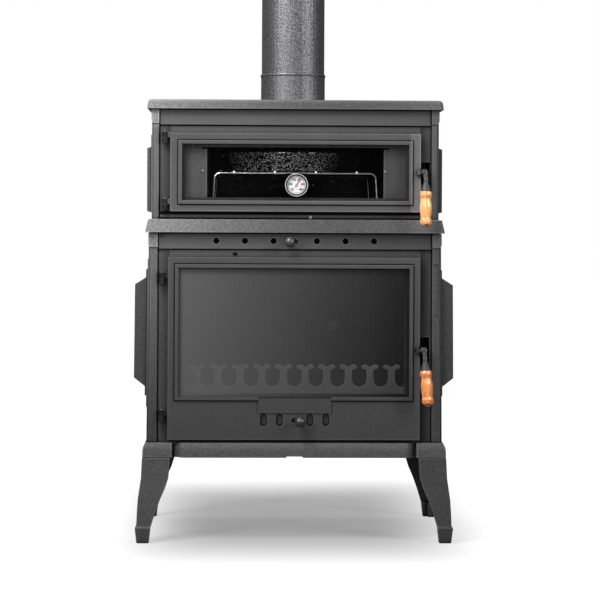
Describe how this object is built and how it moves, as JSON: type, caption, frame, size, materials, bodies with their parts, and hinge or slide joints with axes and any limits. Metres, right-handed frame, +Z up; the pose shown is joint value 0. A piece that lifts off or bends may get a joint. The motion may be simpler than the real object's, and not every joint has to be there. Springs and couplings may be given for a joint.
{
  "type": "wood stove",
  "caption": "Cast iron wood stove with a glazed fire door, an oven with a glazed door above it, curved legs and a flue pipe.",
  "frame": {"origin": "floor level, centre of the bounding box seen from above", "axes": "+Z up, +Y from the front towards the back, +X to the right of someone facing the doors"},
  "size_m": [0.736, 0.4654, 1.3206],
  "materials": {
    "cast_iron": "matte, fine sand-cast grain",
    "plate_iron": "matte, speckled",
    "flue_steel": "grainy silver-grey",
    "sheet_steel": "satin",
    "chrome_wire": "polished",
    "bright_steel": "satin",
    "glass": "clear, lightly smoked",
    "rope": "woven glass fibre",
    "fire_grip_wood": "reddish orange, varnished",
    "oven_grip_wood": "light orange, varnished",
    "enamel": "gloss black enamel with white specks",
    "dial": "matte white",
    "needle_red": "matte red"
  },
  "bodies": {
    "stove": {"base_plate": "cast_iron", "leg_front_left": "cast_iron", "leg_front_right": "cast_iron", "leg_rear_left": "cast_iron", "leg_rear_right": "cast_iron", "firebox_side_left": "cast_iron", "firebox_side_right": "cast_iron", "firebox_back": "cast_iron", "firebox_front": "cast_iron", "oven_side_left": "cast_iron", "oven_side_right": "cast_iron", "oven_back": "cast_iron", "oven_front": "cast_iron", "side_shield_left": "cast_iron", "side_shield_right": "cast_iron", "shield_screw_left_lower": "bright_steel", "shield_screw_left_upper": "bright_steel", "shield_screw_right_lower": "bright_steel", "shield_screw_right_upper": "bright_steel", "middle_plate": "plate_iron", "top_plate": "plate_iron", "flue_collar": "cast_iron", "flue_pipe": "flue_steel", "fire_hinge_pin_upper": "bright_steel", "fire_hinge_pin_lower": "bright_steel", "oven_hinge_pin_upper": "bright_steel", "oven_hinge_pin_lower": "bright_steel", "firebox_liner_back": "cast_iron", "firebox_liner_left": "cast_iron", "firebox_liner_right": "cast_iron", "fire_grate": "cast_iron", "ash_pan": "sheet_steel", "log_guard": "cast_iron", "oven_box": "sheet_steel", "oven_rack": "chrome_wire", "baking_pan": "enamel"},
    "fire_door": {"fire_door_frame": "cast_iron", "fire_door_glass": "glass", "fire_glass_retainer": "sheet_steel", "fire_door_seal": "rope", "fire_handle_pin": "bright_steel"},
    "oven_door": {"oven_door_frame": "cast_iron", "oven_door_glass": "glass", "oven_glass_retainer": "sheet_steel", "oven_door_seal": "rope", "oven_handle_pin": "bright_steel", "thermometer_case": "bright_steel", "thermometer_dial": "dial"},
    "fire_handle": {"fire_handle_lever": "cast_iron", "fire_handle_grip": "fire_grip_wood", "fire_handle_screw": "bright_steel"},
    "oven_handle": {"oven_handle_lever": "cast_iron", "oven_handle_grip": "oven_grip_wood", "oven_handle_screw": "bright_steel"},
    "primary_air": {"primary_air_slide": "sheet_steel", "primary_air_knob": "cast_iron"},
    "secondary_air": {"secondary_air_slide": "sheet_steel", "secondary_air_knob": "cast_iron"},
    "thermometer_needle": {"thermometer_needle": "needle_red"}
  },
  "joints": [
    {"name": "fire_door_hinge", "type": "hinge", "parent": "stove", "child": "fire_door", "pos_m": [-0.3, -0.177, 0.231], "axis": [0, 0, -1], "range_deg": [0, 110]},
    {"name": "oven_door_hinge", "type": "hinge", "parent": "stove", "child": "oven_door", "pos_m": [-0.294, -0.177, 0.745], "axis": [0, 0, -1], "range_deg": [0, 110]},
    {"name": "fire_handle_pivot", "type": "hinge", "parent": "fire_door", "child": "fire_handle", "pos_m": [0.2906, -0.189, 0.4325], "axis": [-1, 0, 0], "range_deg": [-6, 40]},
    {"name": "oven_handle_pivot", "type": "hinge", "parent": "oven_door", "child": "oven_handle", "pos_m": [0.2906, -0.189, 0.8335], "axis": [-1, 0, 0], "range_deg": [-6, 30]},
    {"name": "primary_air_travel", "type": "slide", "parent": "fire_door", "child": "primary_air", "axis": [1, 0, 0], "range_m": [-0.017, 0.0015]},
    {"name": "secondary_air_travel", "type": "slide", "parent": "stove", "child": "secondary_air", "axis": [1, 0, 0], "range_m": [-0.0045, 0.017]},
    {"name": "thermometer_needle_turn", "type": "hinge", "parent": "oven_door", "child": "thermometer_needle", "pos_m": [0.002, -0.179, 0.805], "axis": [0, 1, 0], "range_deg": [-180, 120], "stiffness_Nm_per_rad": 0.0002}
  ]
}
